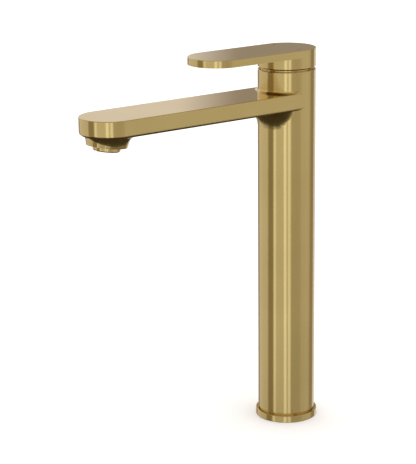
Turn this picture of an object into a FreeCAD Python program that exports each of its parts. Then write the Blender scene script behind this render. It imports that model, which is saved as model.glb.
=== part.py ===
"""Tall single-lever basin mixer, deck mounted, as an assembly of separate pieces.

Frame: millimetres, +Z up, origin on the deck at the centre of the column.
The spout and the lever point to -Y, hot water is on -X and cold water on +X.
"""

import FreeCAD
import Part
import math
import os

V = FreeCAD.Vector
UP = V(0, 0, 1)

# Outside shape
BODY_R = 22.0            # column, and half the width of the spout and the lever
BODY_TOP = 276.6
FLANGE_R = 23.85
FLANGE_H = 5.4
FOOT_GAP = 1.2           # shadow gap between the flange and the column
SPIGOT_R = 21.0          # foot of the column inside the flange
SPOUT_TOP = 260.4
SPOUT_T = 12.9
SPOUT_BOTTOM = SPOUT_TOP - SPOUT_T
SPOUT_REACH = 160.2      # column axis to the centre of the rounded tip
SPOUT_EDGE_TOP = 0.6
SPOUT_EDGE_BOTTOM = 2.2
ROOT_FILLET_TOP = 2.0    # spout top to column
ROOT_FILLET_BOTTOM = 15.0  # spout underside to column
EDGE_BREAK = 0.4

# Lever
LEVER_GAP = 2.0
HUB_BOTTOM = BODY_TOP + LEVER_GAP
PLATE_BOTTOM = 287.0
PLATE_T = 5.5
PLATE_TOP = PLATE_BOTTOM + PLATE_T
LEVER_REACH = 65.2       # column axis to the centre of the rounded tip
HUB_WALL = 1.2
HUB_CAVITY_R = BODY_R - HUB_WALL
HUB_CAVITY_TOP = PLATE_BOTTOM - 0.3
BOSS_R = 8.2
BOSS_BOTTOM = HUB_BOTTOM - 1.0
SOCKET = 9.4             # square socket in the lever's boss
SOCKET_TOP = HUB_BOTTOM + 10.5
SCREW_Z = HUB_BOTTOM + 4.0
SCREW_R = 2.5
SCREW_L = 4.7
MARK_X = 15.2
MARK_DEPTH = 0.15

# Column bores
WALL_FIT = 0.05          # clearance of a piece in its seat
FOOT_BORE_R = 19.0
FOOT_BORE_TOP = 15.0
MID_BORE_R = 18.5
VALVE_BORE_R = 20.0
VALVE_LEDGE = BODY_TOP - 53.0
CHANNEL_ROOF = 3.0       # wall above and below the spout's waterway
CHANNEL_HALF = BODY_R - 3.5

# Water ports, seen from above
INLETS = [(-9.8, -5.2), (9.8, -5.2)]
OUTLET = (0.0, 9.5)
DISC_INLETS = [(-6.8, -6.0), (6.8, -6.0)]
DISC_OUTLET = (0.0, 4.5)
HOSE_THREAD_R = 4.5      # M10x1 tapping hole
HOSE_THREAD_DEPTH = 8.0
STUD_THREAD_R = 3.4      # M8 tapping hole
STUD_THREAD_DEPTH = 11.0
FOOT_BLOCK_H = 14.0
RISER_R = 4.0
RISER_WALL = 0.8
PASSAGE_R = 3.0

# Valve cup and cartridge
SEAT = BODY_TOP - 37.0
CUP_TOP = BODY_TOP - 4.0
CUP_BORE_R = 17.6
WAIST_R = 18.9
WAIST = (SEAT - 6.0, SEAT + 20.0)
RING_GROOVE_R = 18.6
RING_GROOVE_H = 2.2
CUP_RING_ZS = (VALVE_LEDGE + 5.5, CUP_TOP - 8.0)
CART_R = 17.4
BASE_TOP = SEAT + 6.0
SEAL_H = 1.25
DISC_T = 3.5
FIXED_DISC_R = 14.6
FIXED_DISC_Z = BASE_TOP + 0.05
MOVING_DISC_R = 11.0
MOVING_DISC_Z = FIXED_DISC_Z + DISC_T + 0.02
CHAMBER_R = 14.8
CARRIER_BOTTOM = SEAT + 18.6
CARRIER_FLANGE_TOP = SEAT + 21.5
CARRIER_TOP = SEAT + 28.5
CARRIER_HUB_R = 9.9
DRIVER_R = 11.6
DRIVER_FLAT = 11.3
DRIVER_Z = MOVING_DISC_Z + DISC_T + 0.03
DRIVER_TOP = CARRIER_BOTTOM - 0.1
HOUSING_TOP = SEAT + 24.5
PIVOT_Z = SEAT + 24.5
BALL_ARM = 7.5           # pivot to the ball that pushes the moving disc
BALL_R = 2.4
STEM = 7.6
STEM_TOP = HUB_BOTTOM + 10.0
PIN_R = 1.99

# Aerator, along its own tilted axis
AERATOR_TILT = 7.6
AERATOR_Y = -162.0
NOZZLE_TOP_R = 16.5
NOZZLE_RIM_R = 14.75
NOZZLE_L = 8.4
NOZZLE_FILLET_FRONT = 1.0
NOZZLE_FILLET_REAR = 9.0
AERATOR_BORE_R = 9.25
AERATOR_BORE_TOP = 0.2
AERATOR_RING_R = 9.9
AERATOR_RING_L = 3.4
OUTFLOW_R = 7.4
SLEEVE_R = AERATOR_BORE_R - WALL_FIT
SLEEVE_BORE_R = 8.0
AERATOR_SEAL_H = 1.4
JETS_Z = 5.0             # top of the honeycomb, from the spout's underside


def cylinder(radius, z0, z1, x=0.0, y=0.0):
    return Part.makeCylinder(radius, z1 - z0, V(x, y, z0), UP)


def ring(outer, inner, z0, z1, x=0.0, y=0.0):
    return cylinder(outer, z0, z1, x, y).cut(cylinder(inner, z0 - 1, z1 + 1, x, y))


def block(x0, x1, y0, y1, z0, z1):
    return Part.makeBox(x1 - x0, y1 - y0, z1 - z0, V(x0, y0, z0))


def bar(radius, a, b):
    """A round bar from point a to point b."""
    line = b.sub(a)
    return Part.makeCylinder(radius, line.Length, a, line)


def hexagon(across_flats, z0, z1):
    corner = across_flats / 2 / math.cos(math.pi / 6)
    points = [V(corner * math.cos(k * math.pi / 3), corner * math.sin(k * math.pi / 3), z0)
              for k in range(7)]
    return Part.Face(Part.makePolygon(points)).extrude(V(0, 0, z1 - z0))


def revolved(points):
    """A solid of revolution about Z from (radius, z) points."""
    outline = [V(r, 0, z) for r, z in points]
    return Part.Face(Part.makePolygon(outline + outline[:1])).revolve(V(), UP, 360)


def slab(half_width, reach, z0, z1):
    """A flat bar from the column axis to a round tip at -reach."""
    straight = block(-half_width, half_width, -reach, 0, z0, z1)
    return straight.fuse(cylinder(half_width, z0, z1, 0, -reach)).removeSplitter()


def o_ring(major, section, z, x=0.0, y=0.0):
    return Part.makeTorus(major, section, V(x, y, z), UP)


def edges_at(shape, z, keep=lambda edge: True):
    """The edges that lie in the plane at height z."""
    return [e for e in shape.Edges
            if abs(e.BoundBox.ZMin - z) < 1e-4 and abs(e.BoundBox.ZMax - z) < 1e-4 and keep(e)]


def top_root_fillet():
    """The small concave ring where the spout's top runs into the column."""
    radius = ROOT_FILLET_TOP
    outer = BODY_R + radius
    band = ring(outer, BODY_R - 1, SPOUT_TOP - 0.5, SPOUT_TOP + radius)
    limit = BODY_R - SPOUT_EDGE_TOP
    band = band.common(block(-limit, limit, -outer, 0, SPOUT_TOP - 0.5, SPOUT_TOP + radius))
    return band.cut(Part.makeTorus(outer, radius, V(0, 0, SPOUT_TOP + radius), UP))


def bottom_root_fillet():
    """The large blend under the spout.

    Each radial section is an arc of one radius that starts tangent to the column. It ends tangent
    to the underside where that is wide enough, and elsewhere where the underside stops being flat.
    """
    inset = 0.1          # keeps the blend's edge off the edge of the flat underside
    radius, edge_x = ROOT_FILLET_BOTTOM, BODY_R - SPOUT_EDGE_BOTTOM - inset
    inside, step, sharpness = 1.0, 0.02, 6
    last_angle = math.asin(edge_x / (BODY_R + 3 * step))
    start_rise = math.sqrt(radius ** 2 - (radius - step) ** 2)
    sections = []
    count = 24
    for k in range(count + 1):
        angle = last_angle * (2 * k / count - 1)
        to_edge = edge_x / max(abs(math.sin(angle)), 0.1) - BODY_R
        reach = (radius ** -sharpness + to_edge ** -sharpness) ** (-1 / sharpness)
        depth = math.sqrt(radius ** 2 - (radius - reach) ** 2)
        middle_reach = (reach + step) / 2
        middle_depth = depth - math.sqrt(radius ** 2 - (radius - middle_reach) ** 2)
        corners = [(BODY_R - inside, inside), (BODY_R + reach, inside), (BODY_R + reach, 0),
                   (BODY_R + middle_reach, -middle_depth), (BODY_R + step, start_rise - depth),
                   (BODY_R - inside, start_rise - depth)]
        a, b, c, m, d, e = [V(r * math.sin(angle), -r * math.cos(angle), SPOUT_BOTTOM + z)
                            for r, z in corners]
        sections.append(Part.Wire([Part.makeLine(a, b), Part.makeLine(b, c), Part.Arc(c, m, d).toShape(),
                                   Part.makeLine(d, e), Part.makeLine(e, a)]))
    return Part.makeLoft(sections, True)


def at_aerator(shape):
    """Moves a shape made along +Z to the aerator's axis, +Z pointing down and out of the tip."""
    moved = shape.copy()
    moved.Placement = FreeCAD.Placement(
        V(0, AERATOR_Y, SPOUT_BOTTOM), FreeCAD.Rotation(V(1, 0, 0), 180 - AERATOR_TILT))
    return moved


# ---------------------------------------------------------------- body and base

def spout_outside():
    blank = slab(BODY_R, SPOUT_REACH, SPOUT_BOTTOM, SPOUT_TOP)

    def outer(edge):
        return edge.BoundBox.YMin < -1

    blank = blank.makeFillet(SPOUT_EDGE_TOP, edges_at(blank, SPOUT_TOP, outer))
    blank = blank.makeFillet(SPOUT_EDGE_BOTTOM, edges_at(blank, SPOUT_BOTTOM, outer))
    taper = (NOZZLE_TOP_R - NOZZLE_RIM_R) / NOZZLE_L
    sunk = 3.0
    nozzle = at_aerator(Part.makeCone(NOZZLE_TOP_R + taper * sunk, NOZZLE_RIM_R,
                                      NOZZLE_L + sunk, V(0, 0, -sunk), UP))
    half = blank.fuse(nozzle).common(block(0, 2 * BODY_R, -300, 100, 0, 300))
    root = [e for e in edges_at(half, SPOUT_BOTTOM)
            if e.BoundBox.YMax < AERATOR_Y + NOZZLE_TOP_R + 3 and 14 < e.BoundBox.XLength < 19]
    radii = (NOZZLE_FILLET_FRONT, NOZZLE_FILLET_REAR)
    if root[0].Vertexes[0].Y > root[0].Vertexes[-1].Y:
        radii = (NOZZLE_FILLET_REAR, NOZZLE_FILLET_FRONT)
    half = half.makeFillet(radii[0], radii[1], root)
    return half.fuse(half.mirror(V(), V(1, 0, 0))).removeSplitter()


def body_casting():
    foot = FLANGE_H + FOOT_GAP
    column = revolved([(0, foot), (BODY_R - EDGE_BREAK, foot), (BODY_R, foot + EDGE_BREAK),
                       (BODY_R, BODY_TOP - EDGE_BREAK), (BODY_R - EDGE_BREAK, BODY_TOP), (0, BODY_TOP)])
    body = column.fuse([cylinder(SPIGOT_R, 0.3, foot + 1), spout_outside(),
                        top_root_fillet(), bottom_root_fillet()])
    bore = revolved([(0, -1), (FOOT_BORE_R, -1), (FOOT_BORE_R, FOOT_BORE_TOP), (MID_BORE_R, FOOT_BORE_TOP),
                     (MID_BORE_R, VALVE_LEDGE), (VALVE_BORE_R, VALVE_LEDGE),
                     (VALVE_BORE_R, BODY_TOP + 1), (0, BODY_TOP + 1)])
    channel = slab(CHANNEL_HALF, SPOUT_REACH, SPOUT_BOTTOM + CHANNEL_ROOF, SPOUT_TOP - CHANNEL_ROOF)
    thread = at_aerator(cylinder(AERATOR_BORE_R, AERATOR_BORE_TOP, NOZZLE_L + 2))
    outflow = at_aerator(cylinder(OUTFLOW_R, -5, AERATOR_BORE_TOP + 1))
    return body.cut([bore, channel, thread, outflow])


def base_flange():
    rebate_r, rebate_h = FLANGE_R - 1.0, 1.2
    disc = cylinder(FLANGE_R, 0, FLANGE_H)
    disc = disc.makeFillet(EDGE_BREAK, edges_at(disc, FLANGE_H))
    disc = disc.makeChamfer(0.2, edges_at(disc, 0))
    return disc.cut([cylinder(SPIGOT_R + WALL_FIT, -1, FLANGE_H + 1), cylinder(rebate_r, -1, rebate_h)])


def base_gasket():
    return ring(FLANGE_R - 1.05, SPIGOT_R + 2 * WALL_FIT, 0, 1.15)


def foot_block():
    body = cylinder(FOOT_BORE_R - WALL_FIT, 0, FOOT_BLOCK_H)
    body = body.makeChamfer(0.5, edges_at(body, FOOT_BLOCK_H))
    cuts = [cylinder(STUD_THREAD_R, -1, STUD_THREAD_DEPTH)]
    for x, y in INLETS:
        cuts.append(cylinder(HOSE_THREAD_R, -1, HOSE_THREAD_DEPTH, x, y))
        cuts.append(cylinder(PASSAGE_R, HOSE_THREAD_DEPTH - 1, FOOT_BLOCK_H, x, y))
        cuts.append(cylinder(RISER_R + WALL_FIT, HOSE_THREAD_DEPTH + 1, FOOT_BLOCK_H + 1, x, y))
        cuts.append(cylinder(RISER_R + 1.4, HOSE_THREAD_DEPTH + 2.6, HOSE_THREAD_DEPTH + 4.4, x, y))
    return body.cut(cuts)


def riser_tube(x, y):
    return ring(RISER_R, RISER_R - RISER_WALL, HOSE_THREAD_DEPTH + 1.05, VALVE_LEDGE + 5.9, x, y)


def riser_o_rings():
    heights = (HOSE_THREAD_DEPTH + 3.5, VALVE_LEDGE + 2.9)
    return [o_ring(RISER_R + 0.7, 0.69, z, x, y) for x, y in INLETS for z in heights]


# ---------------------------------------------------------------- valve cup

def valve_cup():
    cup = cylinder(VALVE_BORE_R - WALL_FIT, VALVE_LEDGE, CUP_TOP)
    cuts = [cylinder(CUP_BORE_R, SEAT, CUP_TOP + 1), ring(BODY_R, WAIST_R, *WAIST)]
    for z in CUP_RING_ZS:
        cuts.append(ring(BODY_R, RING_GROOVE_R, z - RING_GROOVE_H / 2, z + RING_GROOVE_H / 2))
    for x, y in INLETS:
        cuts.append(cylinder(PASSAGE_R, VALVE_LEDGE, SEAT + 1, x, y))
        cuts.append(cylinder(RISER_R + WALL_FIT, VALVE_LEDGE - 1, VALVE_LEDGE + 6, x, y))
        cuts.append(cylinder(RISER_R + 1.4, VALVE_LEDGE + 2, VALVE_LEDGE + 3.8, x, y))
    port_r, port_z = 4.2, SEAT - 4.5
    cuts.append(cylinder(port_r, port_z, SEAT + 1, *OUTLET))
    cuts.append(block(-port_r, port_r, OUTLET[1], BODY_R, port_z, SEAT - 0.8))
    for side in (-1, 1):
        cuts.append(cylinder(1.6, SEAT - 2.0, SEAT + 1, side * 12.5, 7.5))
    return cup.cut(cuts)


def cup_o_rings():
    section = (VALVE_BORE_R - RING_GROOVE_R) / 2 - 0.01
    return [o_ring(RING_GROOVE_R + section + 0.01, section, z) for z in CUP_RING_ZS]


def cartridge_nut():
    nut = ring(CUP_BORE_R - WALL_FIT, 14.3, HOUSING_TOP + WALL_FIT, CUP_TOP - 0.5)
    slots = []
    for k in range(4):
        slot = block(-1.5, 1.5, 13, 19, CUP_TOP - 3.0, CUP_TOP + 1)
        slot.rotate(V(), UP, 45 + 90 * k)
        slots.append(slot)
    return nut.cut(slots)


def trim_collar():
    inner, neck = 16.3, 19.4
    return revolved([(inner, CUP_TOP + WALL_FIT), (VALVE_BORE_R - WALL_FIT, CUP_TOP + WALL_FIT),
                     (VALVE_BORE_R - WALL_FIT, BODY_TOP - 0.2), (neck, BODY_TOP - 0.2),
                     (neck, BODY_TOP + 1.0), (neck - 0.4, BODY_TOP + 1.4), (inner, BODY_TOP + 1.4)])


# ---------------------------------------------------------------- cartridge

def cartridge_base():
    base = cylinder(CART_R, SEAT + 0.05, BASE_TOP)
    pegs = [cylinder(1.5, SEAT - 1.8, SEAT + 1, side * 12.5, 7.5) for side in (-1, 1)]
    base = base.fuse(pegs)
    cuts = []
    lower = [(x, y, 3.2) for x, y in INLETS] + [(*OUTLET, 3.8)]
    upper = [(x, y, 2.8) for x, y in DISC_INLETS] + [(*DISC_OUTLET, 3.8)]
    for x, y, r in lower:
        cuts.append(cylinder(r, SEAT - 1, SEAT + 3.5, x, y))
        cuts.append(cylinder(r + 1.6, SEAT - 1, SEAT + SEAL_H, x, y))
    for x, y, r in upper:
        cuts.append(cylinder(r, SEAT + 2.5, BASE_TOP + 1, x, y))
        cuts.append(cylinder(r + 1.3, BASE_TOP - SEAL_H, BASE_TOP + 1, x, y))
    return base.cut(cuts)


def port_seals():
    rings = [ring(4.7, 3.3, SEAT + 0.01, SEAT + SEAL_H - 0.02, x, y) for x, y in INLETS]
    return rings + [ring(5.3, 3.9, SEAT + 0.01, SEAT + SEAL_H - 0.02, *OUTLET)]


def disc_seals():
    z0, z1 = BASE_TOP - SEAL_H + 0.02, BASE_TOP + 0.03
    rings = [ring(4.0, 2.9, z0, z1, x, y) for x, y in DISC_INLETS]
    return rings + [ring(5.0, 3.9, z0, z1, *DISC_OUTLET)]


def fixed_ceramic_disc():
    disc = cylinder(FIXED_DISC_R, FIXED_DISC_Z, FIXED_DISC_Z + DISC_T)
    holes = [cylinder(2.6, FIXED_DISC_Z - 1, FIXED_DISC_Z + DISC_T + 1, x, y) for x, y in DISC_INLETS]
    holes.append(cylinder(3.6, FIXED_DISC_Z - 1, FIXED_DISC_Z + DISC_T + 1, *DISC_OUTLET))
    return disc.cut(holes)


def moving_ceramic_disc():
    disc = cylinder(MOVING_DISC_R, MOVING_DISC_Z, MOVING_DISC_Z + DISC_T)
    x, y, r, depth = 3.2, 2.6, 5.0, 2.2
    z0, z1 = MOVING_DISC_Z - 1, MOVING_DISC_Z + depth
    return disc.cut([cylinder(r, z0, z1, -x, y), cylinder(r, z0, z1, x, y),
                     block(-x, x, y - r, y + r, z0, z1)])


def disc_driver():
    puck = cylinder(DRIVER_R, DRIVER_Z, DRIVER_TOP)
    puck = puck.common(block(-DRIVER_FLAT, DRIVER_FLAT, -20, 20, DRIVER_Z, DRIVER_TOP))
    ball_z = PIVOT_Z - BALL_ARM
    pocket = cylinder(BALL_R + 0.25, ball_z - BALL_R - 0.2, DRIVER_TOP + 1)
    mouth = Part.makeCone(BALL_R + 0.25, BALL_R + 1.9, 1.6, V(0, 0, DRIVER_TOP - 1.2), UP)
    return puck.cut([pocket, mouth])


def cartridge_housing():
    roof = CARRIER_FLANGE_TOP + 0.2
    shell = revolved([(CHAMBER_R, BASE_TOP + 0.02), (CART_R, BASE_TOP + 0.02), (CART_R, HOUSING_TOP - 0.6),
                      (CART_R - 0.6, HOUSING_TOP), (CARRIER_HUB_R + 0.3, HOUSING_TOP),
                      (CARRIER_HUB_R + 0.3, roof), (CHAMBER_R, roof)])
    return shell


def stem_carrier():
    flange = cylinder(CHAMBER_R - 0.3, CARRIER_BOTTOM, CARRIER_FLANGE_TOP)
    hub = cylinder(CARRIER_HUB_R, CARRIER_FLANGE_TOP, CARRIER_TOP)
    rails = []
    for side in (-1, 1):
        x0, x1 = sorted((side * (DRIVER_FLAT + 0.15), side * CHAMBER_R))
        rails.append(block(x0, x1, -5, 5, DRIVER_Z + 0.3, CARRIER_BOTTOM + 1))
    body = flange.fuse([hub] + [r.common(cylinder(CHAMBER_R - 0.3, DRIVER_Z, CARRIER_BOTTOM + 1))
                                for r in rails]).removeSplitter()
    slot = block(-STEM / 2 - 0.15, STEM / 2 + 0.15, -6.4, 6.8, CARRIER_BOTTOM - 1, CARRIER_TOP + 1)
    pin_hole = bar(PIN_R + 0.04, V(-CHAMBER_R, 0, PIVOT_Z), V(CHAMBER_R, 0, PIVOT_Z))
    return body.cut([slot, pin_hole])


def hot_limit_ring():
    z0, z1 = HOUSING_TOP + 0.05, HOUSING_TOP + 2.4
    teeth = []
    for k in range(24):
        notch = block(-0.45, 0.45, 13.1, 15, z0 - 1, z1 + 1)
        notch.rotate(V(), UP, 15 * k)
        teeth.append(notch)
    lug = block(-2.2, 2.2, 10.9, 13.0, z1 - 0.5, z1 + 1.6)
    return ring(13.9, CARRIER_HUB_R + 0.5, z0, z1).cut(teeth).fuse(lug).removeSplitter()


def stem():
    half = STEM / 2
    shaft = block(-half, half, -half, half, PIVOT_Z, STEM_TOP)
    shaft = shaft.makeChamfer(0.6, edges_at(shaft, STEM_TOP))
    eye = bar(4.3, V(-half, 0, PIVOT_Z), V(half, 0, PIVOT_Z))
    neck = cylinder(1.9, PIVOT_Z - BALL_ARM, PIVOT_Z)
    ball = Part.makeSphere(BALL_R, V(0, 0, PIVOT_Z - BALL_ARM))
    pin_hole = bar(PIN_R + 0.01, V(-half - 1, 0, PIVOT_Z), V(half + 1, 0, PIVOT_Z))
    return shaft.fuse([eye, neck, ball]).cut(pin_hole)


def stem_pivot_pin():
    return bar(PIN_R, V(-8.6, 0, PIVOT_Z), V(8.6, 0, PIVOT_Z))


# ---------------------------------------------------------------- lever

def lever_outside():
    plate = slab(BODY_R, LEVER_REACH, PLATE_BOTTOM, PLATE_TOP)
    hub = cylinder(BODY_R, HUB_BOTTOM, PLATE_TOP)
    lever = plate.fuse(hub).removeSplitter()
    lever = lever.makeFillet(EDGE_BREAK, edges_at(lever, PLATE_TOP))
    return lever.makeChamfer(0.25, edges_at(lever, HUB_BOTTOM))


def mark(x, y, length):
    """An engraved dash along Y."""
    half, z0, z1 = 0.6, PLATE_TOP - MARK_DEPTH, PLATE_TOP + 1
    end = length / 2 - half
    return block(x - half, x + half, y - end, y + end, z0, z1).fuse(
        [cylinder(half, z0, z1, x, y - end), cylinder(half, z0, z1, x, y + end)])


def lever_handle():
    hollow = cylinder(HUB_CAVITY_R, HUB_BOTTOM - 1, HUB_CAVITY_TOP)
    boss = cylinder(BOSS_R, BOSS_BOTTOM, PLATE_BOTTOM + 1)
    lug = block(-4.2, 4.2, 0, 8.7, HUB_BOTTOM + 0.8, PLATE_BOTTOM + 1)
    half = SOCKET / 2
    socket = block(-half, half, -half, half, BOSS_BOTTOM - 1, SOCKET_TOP)
    screw_hole = bar(SCREW_R, V(0, 0, SCREW_Z), V(0, 12, SCREW_Z))
    access = bar(SCREW_R + 0.1, V(0, 18, SCREW_Z), V(0, 24, SCREW_Z))
    marks = [mark(-MARK_X, 0.4, 2.2), mark(MARK_X, -1.6, 1.7), mark(MARK_X, 0.9, 1.7)]
    return lever_outside().cut(hollow).fuse([boss, lug]).cut([socket, screw_hole, access] + marks)


def handle_adaptor():
    outer, inner = SOCKET / 2 - WALL_FIT, STEM / 2 + WALL_FIT
    sleeve = block(-outer, outer, -outer, outer, BOSS_BOTTOM + 0.2, SOCKET_TOP - 0.1)
    inside = block(-inner, inner, -inner, inner, BOSS_BOTTOM - 1, STEM_TOP + 0.1)
    return sleeve.cut([inside, bar(SCREW_R + 0.05, V(0, 0, SCREW_Z), V(0, 8, SCREW_Z))])


def handle_set_screw():
    screw = cylinder(SCREW_R - 0.02, 0, SCREW_L)
    screw = screw.makeChamfer(0.5, edges_at(screw, 0))
    screw = screw.cut(hexagon(2.5, 2.2, 6))
    screw.Placement = FreeCAD.Placement(V(0, STEM / 2 + 0.05, SCREW_Z), FreeCAD.Rotation(V(1, 0, 0), -90))
    return screw


def handle_screw_plug():
    disc = bar(SCREW_R + 0.08, V(0, 18, SCREW_Z), V(0, 24, SCREW_Z))
    return disc.common(ring(BODY_R - 0.05, HUB_CAVITY_R, SCREW_Z - 4, SCREW_Z + 4))


# ---------------------------------------------------------------- aerator

def aerator_shell():
    rim = NOZZLE_L + AERATOR_RING_L
    z0 = AERATOR_BORE_TOP + AERATOR_SEAL_H + 0.1
    lip = 7.0
    shell = revolved([(SLEEVE_BORE_R, z0), (SLEEVE_R, z0), (SLEEVE_R, NOZZLE_L + 0.03),
                      (AERATOR_RING_R, NOZZLE_L + 0.03), (AERATOR_RING_R, rim - 0.7),
                      (AERATOR_RING_R - 0.7, rim), (lip, rim), (lip, rim - 1.2), (SLEEVE_BORE_R, rim - 1.2)])
    slots = [block(-1.4, 1.4, side * 9.2 - 1.0, side * 9.2 + 1.0, rim - 1.2, rim + 1) for side in (-1, 1)]
    return at_aerator(shell.cut(slots))


def aerator_gasket():
    return at_aerator(ring(SLEEVE_R, OUTFLOW_R, AERATOR_BORE_TOP + 0.05, AERATOR_BORE_TOP + AERATOR_SEAL_H))


def aerator_insert():
    """Honeycomb jet former that rests on the shell's lip."""
    z0, z1 = JETS_Z, NOZZLE_L + AERATOR_RING_L - 1.25
    pitch, cell = 2.35, 1.9
    body = cylinder(SLEEVE_BORE_R - WALL_FIT, z0, z1)
    cells = []
    for row in range(-3, 4):
        for col in range(-3, 4):
            x = pitch * (col + 0.5 * (row % 2))
            y = pitch * row * math.sqrt(3) / 2
            if math.hypot(x, y) < 6.2:
                cells.append(hexagon(cell, z0 - 1, z1 + 1).translated(V(x, y, 0)))
    return at_aerator(body.cut(cells))


def aerator_mesh():
    """Stack of two fine screens, drawn as one perforated disc."""
    z0, z1 = JETS_Z - 0.7, JETS_Z - 0.05
    holes = []
    for x in range(-5, 6):
        for y in range(-5, 6):
            if math.hypot(x, y) < 5.4:
                holes.append(block(x - 0.35, x + 0.35, y - 0.35, y + 0.35, z0 - 1, z1 + 1)
                             .translated(V(0.3 * x, 0.3 * y, 0)))
    return at_aerator(cylinder(SLEEVE_BORE_R - WALL_FIT, z0, z1).cut(holes))


def flow_regulator():
    z0, z1 = AERATOR_BORE_TOP + AERATOR_SEAL_H + 0.1, JETS_Z - 0.75
    body = cylinder(SLEEVE_BORE_R - WALL_FIT, z0, z1)
    ring_slot = ring(5.2, 3.2, z0 - 1, z0 + 1.4)
    jets = [cylinder(0.7, z0 - 1, z1 + 1, 4.2 * math.cos(k * math.pi / 4), 4.2 * math.sin(k * math.pi / 4))
            for k in range(8)]
    return at_aerator(body.cut([ring_slot] + jets))


# ---------------------------------------------------------------- files

NODES = {
    "body_casting": body_casting,
    "base_flange": base_flange,
    "base_gasket": base_gasket,
    "foot_block": foot_block,
    "hot_riser_tube": lambda: riser_tube(*INLETS[0]),
    "cold_riser_tube": lambda: riser_tube(*INLETS[1]),
    "riser_o_rings": riser_o_rings,
    "valve_cup": valve_cup,
    "cup_o_rings": cup_o_rings,
    "cartridge_nut": cartridge_nut,
    "trim_collar": trim_collar,
    "cartridge_base": cartridge_base,
    "port_seals": port_seals,
    "disc_seals": disc_seals,
    "fixed_ceramic_disc": fixed_ceramic_disc,
    "moving_ceramic_disc": moving_ceramic_disc,
    "disc_driver": disc_driver,
    "cartridge_housing": cartridge_housing,
    "stem_carrier": stem_carrier,
    "hot_limit_ring": hot_limit_ring,
    "stem": stem,
    "stem_pivot_pin": stem_pivot_pin,
    "lever_handle": lever_handle,
    "handle_adaptor": handle_adaptor,
    "handle_set_screw": handle_set_screw,
    "handle_screw_plug": handle_screw_plug,
    "aerator_shell": aerator_shell,
    "aerator_gasket": aerator_gasket,
    "aerator_insert": aerator_insert,
    "aerator_mesh": aerator_mesh,
    "flow_regulator": flow_regulator,
}


def main():
    os.makedirs("parts", exist_ok=True)
    for name, make in NODES.items():
        made = make()
        shapes = made if isinstance(made, list) else [made]
        solids = [solid for shape in shapes for solid in shape.Solids]
        shape = solids[0] if len(solids) == 1 else Part.makeCompound(solids)
        shape.exportStep(f"parts/{name}.step")
        good = all(solid.isValid() and solid.Volume > 0 for solid in solids)
        size = shape.optimalBoundingBox(False, False)
        print(f"{name:22s} solids {len(solids):2d}  cm3 {shape.Volume / 1000:8.3f}  valid {good}  "
              f"mm {size.XLength:.1f} x {size.YLength:.1f} x {size.ZLength:.1f}")


main()
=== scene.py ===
"""Looks of a tall basin mixer in brushed brass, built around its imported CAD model.

Metres, +Z up, the origin on the deck at the column's centre, the spout and the lever towards -Y.
"""

import math

import bpy
from mathutils import Matrix, Vector


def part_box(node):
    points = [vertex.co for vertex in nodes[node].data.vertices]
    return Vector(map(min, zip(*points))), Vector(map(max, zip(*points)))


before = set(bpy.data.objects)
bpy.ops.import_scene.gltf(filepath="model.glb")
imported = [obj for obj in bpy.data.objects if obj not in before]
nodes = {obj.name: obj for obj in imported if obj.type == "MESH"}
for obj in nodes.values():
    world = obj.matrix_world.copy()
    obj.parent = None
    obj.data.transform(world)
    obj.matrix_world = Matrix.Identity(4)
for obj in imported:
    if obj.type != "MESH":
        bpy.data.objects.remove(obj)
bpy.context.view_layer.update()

# Camera: where it stands, where it looks, and its lens
CAMERA_AZIMUTH = 50.675    # round the object, from straight in front of the spout
CAMERA_DISTANCE = 1.2511
CAMERA_HEIGHT = 0.4910
CAMERA_YAW = 53.452
CAMERA_PITCH = 15.301
CAMERA_ROLL = 0.629
CAMERA_LENS = 130.0
SENSOR = 36.0

LEVER_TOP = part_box("lever_handle")[1].z


# ---------------------------------------------------------------- node helpers

class Tree:
    """A short way to write shader nodes."""

    def __init__(self, tree):
        self.tree = tree

    def add(self, kind, inputs=(), **settings):
        node = self.tree.nodes.new(kind)
        for key, value in settings.items():
            setattr(node, key, value)
        for key, value in dict(inputs).items():
            self.feed(node, key, value)
        return node

    def feed(self, node, key, value):
        if isinstance(value, bpy.types.NodeSocket):
            self.tree.links.new(value, node.inputs[key])
        else:
            node.inputs[key].default_value = value

    def math(self, operation, a, b=0.0):
        return self.add("ShaderNodeMath", {0: a, 1: b}, operation=operation).outputs[0]

    def vector(self, operation, a, b=(0, 0, 0)):
        """A vector node, whose result is its first output, or "Value" where it is a number."""
        return self.add("ShaderNodeVectorMath", {0: a, 1: b}, operation=operation)

    def fit(self, value, low, high, to_low=0.0, to_high=1.0):
        return self.add("ShaderNodeMapRange", {0: value, 1: low, 2: high, 3: to_low, 4: to_high}).outputs[0]

    def blend(self, factor, a, b, kind="RGBA"):
        node = self.add("ShaderNodeMix", data_type=kind, clamp_factor=True)
        sockets = [socket for socket in node.inputs if socket.enabled]
        for socket, value in zip(sockets, (factor, a, b)):
            if isinstance(value, bpy.types.NodeSocket):
                self.tree.links.new(value, socket)
            else:
                socket.default_value = value
        return next(socket for socket in node.outputs if socket.enabled)

    def noise(self, vector, scale, detail=3.0, roughness=0.5):
        inputs = {"Vector": vector, "Scale": scale, "Detail": detail, "Roughness": roughness}
        return self.add("ShaderNodeTexNoise", inputs).outputs["Fac"]


def new_material(name):
    material = bpy.data.materials.new(name)
    material.use_nodes = True
    material.node_tree.nodes.clear()
    tree = Tree(material.node_tree)
    shader = tree.add("ShaderNodeBsdfPrincipled")
    output = tree.add("ShaderNodeOutputMaterial")
    tree.tree.links.new(shader.outputs[0], output.inputs[0])
    return material, tree, shader


def rgb(r, g, b):
    return (r, g, b, 1.0)


# ---------------------------------------------------------------- materials

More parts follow.
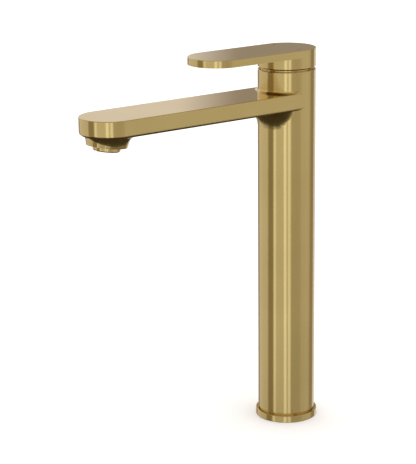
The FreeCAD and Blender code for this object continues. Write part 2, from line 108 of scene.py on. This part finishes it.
BRASS = rgb(0.73, 0.54, 0.180)
BRASS_DEEP = rgb(0.69, 0.505, 0.160)
# pale brass for the brushing lines, and for the edges, where it is partly rubbed wear and partly a painted
# highlight
BRASS_WORN_AND_HIGHLIGHT = rgb(0.82, 0.67, 0.34)
MARK_INK = rgb(0.045, 0.016, 0.006)
SPECULAR_TINT = rgb(1.0, 0.93, 0.80)
ANISOTROPY = 0.9
COAT = 0.7                 # lacquer
COAT_ROUGHNESS = 0.08
INK_ROUGHNESS = 0.9
WALL_ROUGHNESS = 0.20
TOP_ROUGHNESS = 0.09
UNDERSIDE_ROUGHNESS = 0.48
MARK_RIM, MARK_FLOOR = 0.00003, 0.00020    # depths below the lever's top between which ink shows
MARK_WALL = 0.2            # ink also covers faces whose normal is more level than this
FLAT = 0.97                # a face whose normal is this close to upright counts as a top or underside
LINES_ACROSS = 7000.0      # noise scale across the brushing
LINES_ALONG = 60.0         # noise scale along the brushing
PATCHES = 18.0
# edges are lightened over this width and by this much, partly as rubbed wear and partly as a painted edge
# highlight
EDGE_WIDTH = 0.0006
EDGE_WEAR_AND_HIGHLIGHT = 0.25
BRUSH_STRENGTH, BRUSH_DEPTH = 0.04, 0.00002

TURNING_PITCH = 0.0004
TURNING_STRENGTH, TURNING_DEPTH = 0.25, 0.00003
GRAIN_STRENGTH, GRAIN_DEPTH = 0.15, 0.00004


def brushed_brass(name, turned_top=False, marks=False):
    """Brushed, lacquered brass: walls brushed level, tops finer and lengthwise or turned, undersides bare."""
    material, t, shader = new_material(name)
    place = t.add("ShaderNodeTexCoord")
    here = place.outputs["Object"]
    normal_z = t.add("ShaderNodeSeparateXYZ", {0: place.outputs["Normal"]}).outputs["Z"]
    is_flat = t.math("GREATER_THAN", t.math("ABSOLUTE", normal_z), FLAT)
    faces_down = t.math("LESS_THAN", normal_z, -FLAT)

    if turned_top:
        outward = t.vector("MULTIPLY", here, (1, 1, 0)).outputs[0]
        radius = t.vector("LENGTH", outward).outputs["Value"]
        top_lines = t.add("ShaderNodeCombineXYZ", {0: t.math("MULTIPLY", radius, LINES_ACROSS)}).outputs[0]
        across_top = t.vector("NORMALIZE", outward).outputs[0]
    else:
        top_lines = t.vector("MULTIPLY", here, (LINES_ACROSS, LINES_ALONG, LINES_ALONG)).outputs[0]
        across_top = t.add("ShaderNodeCombineXYZ", {0: 1.0}).outputs[0]
    wall_lines = t.vector("MULTIPLY", here, (LINES_ALONG, LINES_ALONG, LINES_ACROSS)).outputs[0]
    upright = t.add("ShaderNodeCombineXYZ", {2: 1.0}).outputs[0]
    lines = t.blend(is_flat, wall_lines, top_lines, kind="VECTOR")
    across = t.blend(is_flat, upright, across_top, kind="VECTOR")
    across = t.add("ShaderNodeVectorTransform", {0: across}, vector_type="VECTOR",
                   convert_from="OBJECT", convert_to="WORLD").outputs[0]

    brushing = t.noise(lines, 1.0, detail=4.0, roughness=0.6)
    patches = t.noise(here, PATCHES, detail=2.0)
    # Edges found by the bevel normal are lightened towards pale brass: partly rubbed wear, partly a painted
    # edge highlight
    edge_normal = t.add("ShaderNodeBevel", {"Radius": EDGE_WIDTH}, samples=4).outputs[0]
    true_normal = t.add("ShaderNodeNewGeometry").outputs["Normal"]
    bend = t.vector("DOT_PRODUCT", edge_normal, true_normal).outputs["Value"]
    worn_and_highlit_edge = t.fit(bend, 0.995, 0.90, 0.0, EDGE_WEAR_AND_HIGHLIGHT)

    colour = t.blend(t.fit(patches, 0.35, 0.65), BRASS, BRASS_DEEP)
    colour = t.blend(t.fit(brushing, 0.3, 0.7, 0.0, 0.10), colour, BRASS_WORN_AND_HIGHLIGHT)
    colour = t.blend(worn_and_highlit_edge, colour, BRASS_WORN_AND_HIGHLIGHT)
    bare = faces_down          # where there is no lacquer
    if marks:
        height = t.add("ShaderNodeSeparateXYZ", {0: here}).outputs["Z"]
        sunk = t.math("MULTIPLY", t.math("LESS_THAN", height, LEVER_TOP - MARK_RIM),
                      t.math("GREATER_THAN", height, LEVER_TOP - MARK_FLOOR))
        on_floor = t.math("GREATER_THAN", normal_z, FLAT)
        on_wall = t.math("LESS_THAN", normal_z, MARK_WALL)
        off_round_edge = t.math("ADD", on_floor, on_wall)
        inked = t.math("MULTIPLY", sunk, off_round_edge)
        colour = t.blend(inked, colour, MARK_INK)
        bare = t.math("MAXIMUM", bare, inked)

    fine = t.fit(brushing, 0.25, 0.75, -0.015, 0.02)
    coarse = t.fit(patches, 0.3, 0.7, -0.01, 0.01)
    finish = t.math("ADD", fine, coarse)
    polish = t.math("MULTIPLY", is_flat, WALL_ROUGHNESS - TOP_ROUGHNESS)
    satin = t.math("SUBTRACT", WALL_ROUGHNESS, polish)
    t.feed(shader, "Base Color", colour)
    t.feed(shader, "Metallic", t.math("SUBTRACT", 1.0, inked) if marks else 1.0)
    roughness = t.blend(faces_down, t.math("ADD", satin, finish), UNDERSIDE_ROUGHNESS, kind="FLOAT")
    if marks:
        roughness = t.blend(inked, roughness, INK_ROUGHNESS, kind="FLOAT")
    t.feed(shader, "Roughness", roughness)
    t.feed(shader, "Anisotropic", ANISOTROPY)
    t.feed(shader, "Tangent", across)
    t.feed(shader, "Specular Tint", SPECULAR_TINT)
    t.feed(shader, "Coat Weight", t.fit(bare, 0.0, 1.0, COAT, 0.0))
    t.feed(shader, "Coat Roughness", COAT_ROUGHNESS)
    bump = t.add("ShaderNodeBump", {"Strength": BRUSH_STRENGTH, "Distance": BRUSH_DEPTH, "Height": brushing})
    t.feed(shader, "Normal", bump.outputs[0])
    return material


def turned_metal(name, light, dark, roughness):
    """Machined metal with fine turning marks round Z."""
    material, t, shader = new_material(name)
    here = t.add("ShaderNodeTexCoord").outputs["Object"]
    lines = t.vector("MULTIPLY", here, (150.0, 150.0, 1.0 / TURNING_PITCH)).outputs[0]
    marks = t.noise(lines, 1.0, detail=3.0)
    stains = t.noise(here, 160.0, detail=4.0)
    colour = t.blend(t.fit(stains, 0.35, 0.7), light, dark)
    t.feed(shader, "Base Color", colour)
    t.feed(shader, "Metallic", 1.0)
    t.feed(shader, "Roughness", t.fit(marks, 0.3, 0.7, roughness - 0.06, roughness + 0.08))
    bump = t.add("ShaderNodeBump", {"Strength": TURNING_STRENGTH, "Distance": TURNING_DEPTH, "Height": marks})
    t.feed(shader, "Normal", bump.outputs[0])
    return material


def moulded(name, light, dark, roughness, grain=2500.0):
    """Moulded plastic, rubber or ceramic with a fine grain and slight clouding."""
    material, t, shader = new_material(name)
    here = t.add("ShaderNodeTexCoord").outputs["Object"]
    cloud = t.noise(here, 120.0, detail=3.0)
    fine = t.noise(here, grain, detail=2.0)
    t.feed(shader, "Base Color", t.blend(t.fit(cloud, 0.35, 0.65), light, dark))
    t.feed(shader, "Roughness", t.fit(fine, 0.3, 0.7, roughness - 0.05, roughness + 0.07))
    bump = t.add("ShaderNodeBump", {"Strength": GRAIN_STRENGTH, "Distance": GRAIN_DEPTH, "Height": fine})
    t.feed(shader, "Normal", bump.outputs[0])
    return material


def dress(material, *names):
    for name in names:
        mesh = nodes[name].data
        mesh.materials.clear()
        mesh.materials.append(material)


def dress_all():
    dress(brushed_brass("brushed_brass"), "body_casting", "handle_screw_plug", "aerator_shell")
    dress(brushed_brass("brushed_brass_turned", turned_top=True), "base_flange", "trim_collar")
    dress(brushed_brass("brushed_brass_lever", marks=True), "lever_handle")
    dress(turned_metal("raw_brass", rgb(0.70, 0.50, 0.20), rgb(0.55, 0.37, 0.14), 0.32),
          "foot_block", "hot_riser_tube", "cold_riser_tube", "valve_cup", "cartridge_nut", "stem")
    dress(turned_metal("stainless_steel", rgb(0.62, 0.61, 0.60), rgb(0.48, 0.48, 0.49), 0.30),
          "stem_pivot_pin", "handle_set_screw", "aerator_mesh")
    dress(moulded("black_rubber", rgb(0.018, 0.018, 0.019), rgb(0.03, 0.03, 0.03), 0.62),
          "base_gasket", "riser_o_rings", "cup_o_rings", "port_seals", "disc_seals", "aerator_gasket")
    dress(moulded("white_ceramic", rgb(0.80, 0.78, 0.73), rgb(0.74, 0.72, 0.66), 0.16, grain=6000.0),
          "fixed_ceramic_disc", "moving_ceramic_disc")
    dress(moulded("cartridge_plastic", rgb(0.60, 0.61, 0.60), rgb(0.52, 0.53, 0.52), 0.42),
          "cartridge_base", "cartridge_housing", "disc_driver", "stem_carrier", "handle_adaptor")
    dress(moulded("limit_plastic", rgb(0.50, 0.05, 0.035), rgb(0.42, 0.035, 0.03), 0.42), "hot_limit_ring")
    dress(moulded("aerator_plastic", rgb(0.46, 0.45, 0.42), rgb(0.38, 0.37, 0.34), 0.38),
          "aerator_insert", "flow_regulator")


# ---------------------------------------------------------------- camera, floor and light

def add_camera():
    azimuth = math.radians(CAMERA_AZIMUTH)
    yaw = math.radians(CAMERA_YAW)
    pitch = math.radians(CAMERA_PITCH)
    roll = math.radians(CAMERA_ROLL)
    forward = Vector((-math.sin(yaw) * math.cos(pitch), math.cos(yaw) * math.cos(pitch), -math.sin(pitch)))
    level = Vector((math.cos(yaw), math.sin(yaw), 0))
    down = forward.cross(level)
    right = math.cos(roll) * level + math.sin(roll) * down
    camera_up = math.sin(roll) * level - math.cos(roll) * down
    data = bpy.data.cameras.new("camera")
    data.lens = CAMERA_LENS
    data.sensor_width = SENSOR
    camera = bpy.data.objects.new("camera", data)
    turn = Matrix((right, camera_up, -forward)).transposed()
    spot = Vector((CAMERA_DISTANCE * math.sin(azimuth), -CAMERA_DISTANCE * math.cos(azimuth), CAMERA_HEIGHT))
    camera.matrix_world = Matrix.Translation(spot) @ turn.to_4x4()
    bpy.context.scene.collection.objects.link(camera)
    bpy.context.scene.camera = camera


FLOOR_SIZE = 12.0          # metres from the middle to each side
FLOOR_PALE = rgb(0.93, 0.93, 0.93)
FLOOR_PALER = rgb(0.95, 0.95, 0.95)


def add_floor():
    size = FLOOR_SIZE
    mesh = bpy.data.meshes.new("floor")
    corners = [(-size, -size, 0), (size, -size, 0), (size, size, 0), (-size, size, 0)]
    mesh.from_pydata(corners, [], [(0, 1, 2, 3)])
    floor = bpy.data.objects.new("floor", mesh)
    bpy.context.scene.collection.objects.link(floor)
    material, t, shader = new_material("floor")
    here = t.add("ShaderNodeTexCoord").outputs["Object"]
    cloud = t.noise(here, 3.0)
    t.feed(shader, "Base Color", t.blend(cloud, FLOOR_PALE, FLOOR_PALER))
    t.feed(shader, "Roughness", 0.9)
    t.feed(shader, "Specular IOR Level", 0.0)
    mesh.materials.append(material)
    floor.visible_glossy = False


# The studio: upright softboxes in a dim warm room, each as (direction in degrees from +X towards +Y,
# half its width in degrees, brightness). Walls show the low ones and level tops show the high ones.
LOW_BOXES = [(-150, 31, 0.36), (-56, 38, 0.41), (-87, 4, 0.38), (-43, 5, 0.53), (-27, 4, 0.42),
             (28, 44, 0.20), (42, 20, 0.09), (126, 28, 0.45)]
HIGH_BOXES = [(-169, 47.6, 0.46), (-50, 42, 0.36), (40, 30, 0.26)]
ROOM = rgb(0.335, 0.295, 0.25)
LOW_LIGHT = rgb(0.92, 1.03, 1.30)
HIGH_LIGHT = rgb(0.96, 0.99, 1.07)
UNDER_GLOW = rgb(0.055, 0.046, 0.036)
CEILING = 0.10             # brightness of the whole ceiling above the softboxes
BOX_EDGE = 2.0             # degrees over which a softbox fades out
# Heights over which one part of the studio fades into the next, -1 straight down and 1 straight up
LOW_TO_HIGH = (0.0, 0.05)
HIGH_TO_CEILING = (0.35, 0.65)
UNDER_TO_LOW = (-0.54, -0.40)
SUN_ENERGY = 2.8
SUN_SPREAD = 70.0          # degrees


def ring_of_boxes(t, flat_way, boxes):
    """How brightly the softboxes shine along a level direction."""
    total = 0.0
    for centre, half_width, level in boxes:
        aim = (math.cos(math.radians(centre)), math.sin(math.radians(centre)), 0)
        facing = t.vector("DOT_PRODUCT", flat_way, aim).outputs["Value"]
        outer = math.cos(math.radians(half_width + BOX_EDGE / 2))
        inner = math.cos(math.radians(half_width - BOX_EDGE / 2))
        total = t.math("ADD", t.fit(facing, outer, inner, 0.0, level), total)
    return total


def add_studio():
    world = bpy.data.worlds.new("studio")
    world.use_nodes = True
    world.node_tree.nodes.clear()
    t = Tree(world.node_tree)
    way = t.add("ShaderNodeTexCoord").outputs["Generated"]
    height = t.add("ShaderNodeSeparateXYZ", {0: way}).outputs["Z"]
    flat_way = t.vector("NORMALIZE", t.vector("MULTIPLY", way, (1, 1, 0)).outputs[0]).outputs[0]
    is_high = t.fit(height, *LOW_TO_HIGH)
    low = ring_of_boxes(t, flat_way, LOW_BOXES)
    high = ring_of_boxes(t, flat_way, HIGH_BOXES)
    level = t.blend(is_high, low, high, kind="FLOAT")
    level = t.blend(t.fit(height, *HIGH_TO_CEILING), level, CEILING, kind="FLOAT")
    boxes = t.vector("SCALE", t.blend(is_high, LOW_LIGHT[:3], HIGH_LIGHT[:3], kind="VECTOR"))
    t.feed(boxes, "Scale", level)
    light = t.vector("ADD", boxes.outputs[0], ROOM[:3]).outputs[0]
    light = t.blend(t.fit(height, *UNDER_TO_LOW), UNDER_GLOW[:3], light, kind="VECTOR")
    glow = t.add("ShaderNodeBackground", {0: light})
    white = t.add("ShaderNodeBackground", {0: rgb(1, 1, 1)})
    seen = t.add("ShaderNodeLightPath").outputs["Is Camera Ray"]
    mix = t.add("ShaderNodeMixShader", {0: seen, 1: glow.outputs[0], 2: white.outputs[0]})
    output = t.add("ShaderNodeOutputWorld")
    t.tree.links.new(mix.outputs[0], output.inputs[0])
    bpy.context.scene.world = world

    overhead = bpy.data.lights.new("overhead", "SUN")
    overhead.energy = SUN_ENERGY
    overhead.angle = math.radians(SUN_SPREAD)
    lamp = bpy.data.objects.new("overhead", overhead)
    lamp.visible_glossy = False
    bpy.context.scene.collection.objects.link(lamp)


add_camera()
add_floor()
dress_all()
add_studio()
bpy.context.scene.view_settings.view_transform = "Standard"
